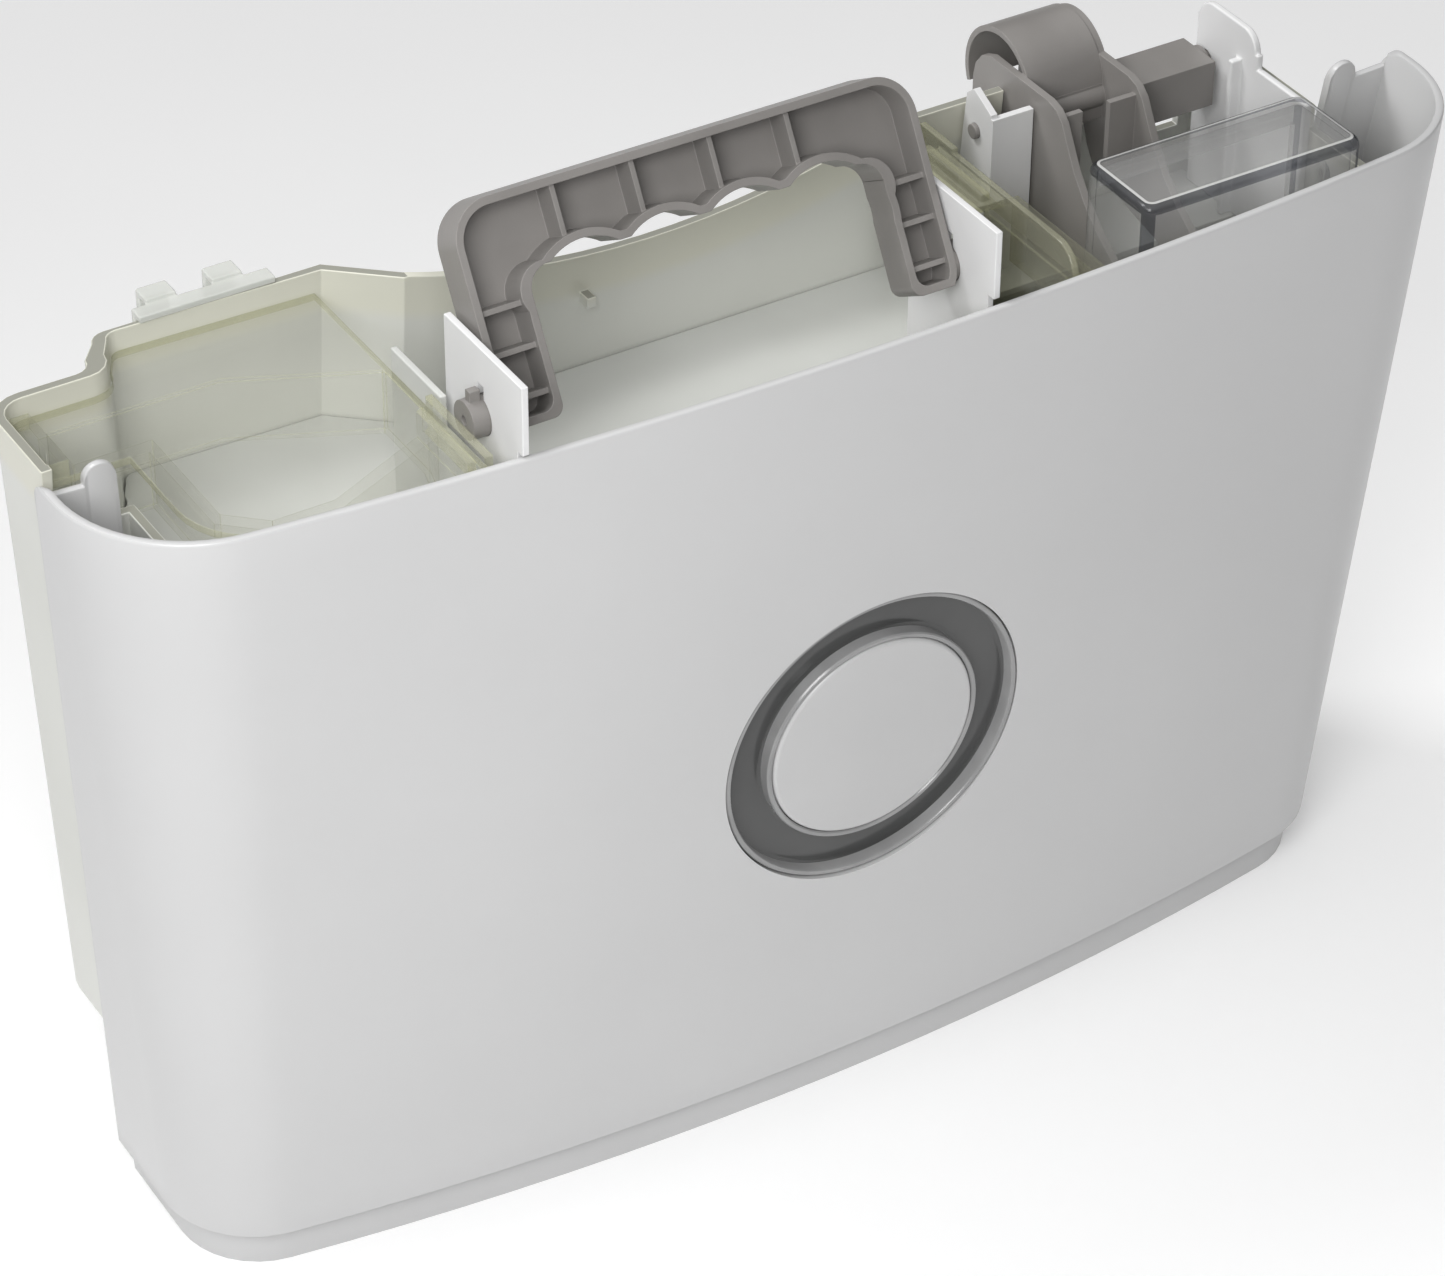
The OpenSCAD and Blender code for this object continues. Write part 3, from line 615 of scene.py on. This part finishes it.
def float_cover():
    """Clear box over the float: round corners, an open bottom and a low opening for the lever's arms."""
    low, high = box_mm("float_cover")
    t = COVER_T
    corner = COVER_CORNER_R
    low_corner = COVER_LOW_R
    top = high[2]
    bottom = low[2] + 2
    narrow = RIM_H - 7.5
    wide = RIM_H - 5.5
    rings = [(0.6, bottom, low_corner), (0, bottom + 0.6, low_corner), (0, narrow, low_corner),
             (0, wide, corner)]
    for i in range(6):
        a = math.radians(18 * i)
        rings.append((COVER_SOFT * (1 - math.cos(a)), top - COVER_SOFT * (1 - math.sin(a)), corner))
    last_outer = len(rings) - 1
    for i in range(5):
        a = math.radians(90 - 22.5 * i)
        rings.append((t + 0.9 * (1 - math.cos(a)), top - t - 0.9 * (1 - math.sin(a)), corner))
    rings += [(t, wide, corner), (t, narrow, low_corner), (t, bottom + 0.6, low_corner),
              (t - 0.6, bottom, low_corner)]
    loops = [cover_ring(o, z, corner, r) for o, z, r in rings]
    size = len(loops[0])
    faces = []
    for i in range(len(loops)):
        if i == last_outer:
            faces.append([i * size + k for k in range(size)])
            faces.append([(i + 1) * size + k for k in range(size)][::-1])
            continue
        a, b = i * size, (i + 1) % len(loops) * size
        faces += [[a + k, a + (k + 1) % size, b + (k + 1) % size, b + k] for k in range(size)]
    mesh = mesh_from("float_cover_moulding", [p for loop in loops for p in loop], faces)
    cover = add_piece("float_cover_moulding", mesh, COVER_CLEAR, "bucket",
                      ("float_cover",))
    cut(cover, cover_mouth(high))
    smooth(cover.data, 30)
    paint_cover_highlight_and_shade(cover.data, top - COVER_SOFT)


def cover_mouth(high):
    """Block that opens the float cover's rear wall for the lever's arms."""
    mouth = bpy.data.meshes.new("mouth")
    bm = bmesh.new()
    bmesh.ops.create_cube(bm, size=1)
    tall = 60
    span = Vector((COVER_W - 2 * COVER_T - 2, 6, tall))
    place = Vector((high[0] - COVER_W / 2, high[1] - 1, RIM_H - 2 - tall / 2))
    bm.transform(Matrix.Translation(place * MM) @ Matrix.Diagonal((*(span * MM), 1)))
    bm.to_mesh(mouth)
    bm.free()
    cutter = bpy.data.objects.new("mouth", mouth)
    bpy.context.scene.collection.objects.link(cutter)
    return cutter


def paint_cover_highlight_and_shade(mesh, shoulder):
    """Paints a highlight on the line around the cover's top, and paints shade on the rounding below it and
    on the front corners.
    """
    mesh.materials.append(COVER_PAINTED_HIGHLIGHT)
    mesh.materials.append(COVER_PAINTED_SHADE)
    # Slot 1 holds the painted highlight, slot 2 the painted shade
    light, dark = 1, 2
    for face in mesh.polygons:
        if face.center.z > shoulder * MM and 0.1 < face.normal.z < 0.99:
            face.material_index = light if face.normal.z > 0.95 else dark
        elif abs(face.normal.z) < 0.3 and 0.25 < abs(face.normal.x) < 0.97 and face.normal.y < 0:
            face.material_index = dark


# ---------------------------------------------------------------- stage, camera and light

# The camera: place in metres, angles in degrees, lens and sensor width in millimetres
CAMERA_PLACE = (-0.5337, -0.8567, 0.8730)
AZIMUTH = -31.616
ELEVATION = 36.752
ROLL = 0.469
LENS = 121.6
SENSOR = 36


def floor_plate():
    """A pale floor under the object."""
    bm = bmesh.new()
    bmesh.ops.create_grid(bm, x_segments=2, y_segments=2, size=6)
    mesh = bpy.data.meshes.new("floor")
    bm.to_mesh(mesh)
    bm.free()
    mesh.materials.append(FLOOR)
    floor = bpy.data.objects.new("floor", mesh)
    bpy.context.scene.collection.objects.link(floor)


def sky():
    """A sky that is brighter above than low down, and brighter at the left than at the right."""
    world = bpy.data.worlds.new("studio")
    bpy.context.scene.world = world
    world.use_nodes = True
    tree = world.node_tree
    background = tree.nodes["Background"]
    coords = node(tree, "ShaderNodeTexCoord")
    split = node(tree, "ShaderNodeSeparateXYZ")
    ramp = node(tree, "ShaderNodeValToRGB")
    ramp.color_ramp.elements[0].position = 0.3
    ramp.color_ramp.elements[0].color = (0.05, 0.05, 0.055, 1)
    ramp.color_ramp.elements[1].position = 1.0
    ramp.color_ramp.elements[1].color = (1.05, 1.05, 1.05, 1)
    tree.links.new(coords.outputs["Generated"], split.inputs["Vector"])
    tree.links.new(split.outputs["Z"], ramp.inputs["Fac"])
    tree.links.new(ramp.outputs["Color"], background.inputs["Color"])
    side = node(tree, "ShaderNodeMapRange")
    side.inputs["From Min"].default_value = -1.0
    side.inputs["To Min"].default_value = 1.5
    side.inputs["To Max"].default_value = 0.42
    tree.links.new(split.outputs["X"], side.inputs["Value"])
    tree.links.new(side.outputs["Result"], background.inputs["Strength"])


def lamp(name, place, target, size, power, spread):
    """A square soft light that faces its target, in metres, watts and degrees of spread."""
    light = bpy.data.lights.new(name, "AREA")
    light.size = size
    light.energy = power
    light.spread = math.radians(spread)
    made = bpy.data.objects.new(name, light)
    made.location = place
    made.rotation_mode = "QUATERNION"
    made.rotation_quaternion = (Vector(target) - Vector(place)).to_track_quat("-Z", "Y")
    bpy.context.scene.collection.objects.link(made)


def camera():
    """The camera, at the angle the object is seen from."""
    azimuth, elevation, roll = (math.radians(a) for a in (AZIMUTH, ELEVATION, ROLL))
    ahead = Vector((-math.sin(azimuth) * math.cos(elevation), math.cos(azimuth) * math.cos(elevation),
                    -math.sin(elevation)))
    right = Vector((math.cos(azimuth), math.sin(azimuth), 0))
    up = right.cross(ahead)
    right, up = (math.cos(roll) * right + math.sin(roll) * up,
                 -math.sin(roll) * right + math.cos(roll) * up)
    data = bpy.data.cameras.new("camera")
    data.lens = LENS
    data.sensor_width = SENSOR
    data.clip_start = 0.05
    made = bpy.data.objects.new("camera", data)
    place = Matrix((right, up, -ahead)).transposed().to_4x4()
    place.translation = Vector(CAMERA_PLACE)
    made.matrix_world = place
    bpy.context.scene.collection.objects.link(made)
    bpy.context.scene.camera = made


# ---------------------------------------------------------------- build

camera()
floor_plate()
sky()
lamp("key", place=(-0.5, -0.5, 0.66), target=(-0.16, 0, 0.12), size=0.4, power=1.9, spread=110)
lamp("side", place=(-0.3, 0.35, 0.9), target=(0.1, 0, 0.24), size=0.3, power=0.4, spread=60)
front_shell()
level_window()
float_cover()
refined("base_tray", TRAY_WHITE, "bucket", 0.6)
refined("water_tank", MILKY, "bucket", 0.5)
refined("splash_baffle", SHELF_MILKY, "bucket", 0.3)
refined("bay_partition", SHELF_MILKY, "bucket", 0.4)
refined("splash_lid", CLEAR, "bucket", 0.4, rim=OLIVE_EDGE, rim_above=RIM_H - 9)
refined("rim_hooks", FROSTED, "bucket", 0.4)
refined("handle_bracket_left", EAR_WHITE, "bucket", 0.3)
refined("handle_bracket_right", EAR_WHITE, "bucket", 0.3)
refined("handle", WARM_GREY, "handle", 0.45)
refined("float_post", EAR_WHITE, "bucket", 0.6)
refined("float_bracket", EAR_WHITE, "bucket", 0.6)
refined("float_lever", WARM_GREY, "float_arm", 0.4)
refined("float_axle", WARM_GREY, "float_arm", 0.3)
refined("lever_magnet", FERRITE, "float_arm", 0.3)
refined("float", FOAM, "float_arm", 0.6)
refined("clear_guard", OLIVE_CLEAR, "bucket", 0.4, rim=OLIVE_EDGE)
refined("shell_screws", STEEL, "bucket", 0.3)
refined("bracket_screws", STEEL, "bucket", 0.3)

bpy.context.scene.view_settings.view_transform = "Standard"
bpy.context.scene.cycles.transparent_max_bounces = 32
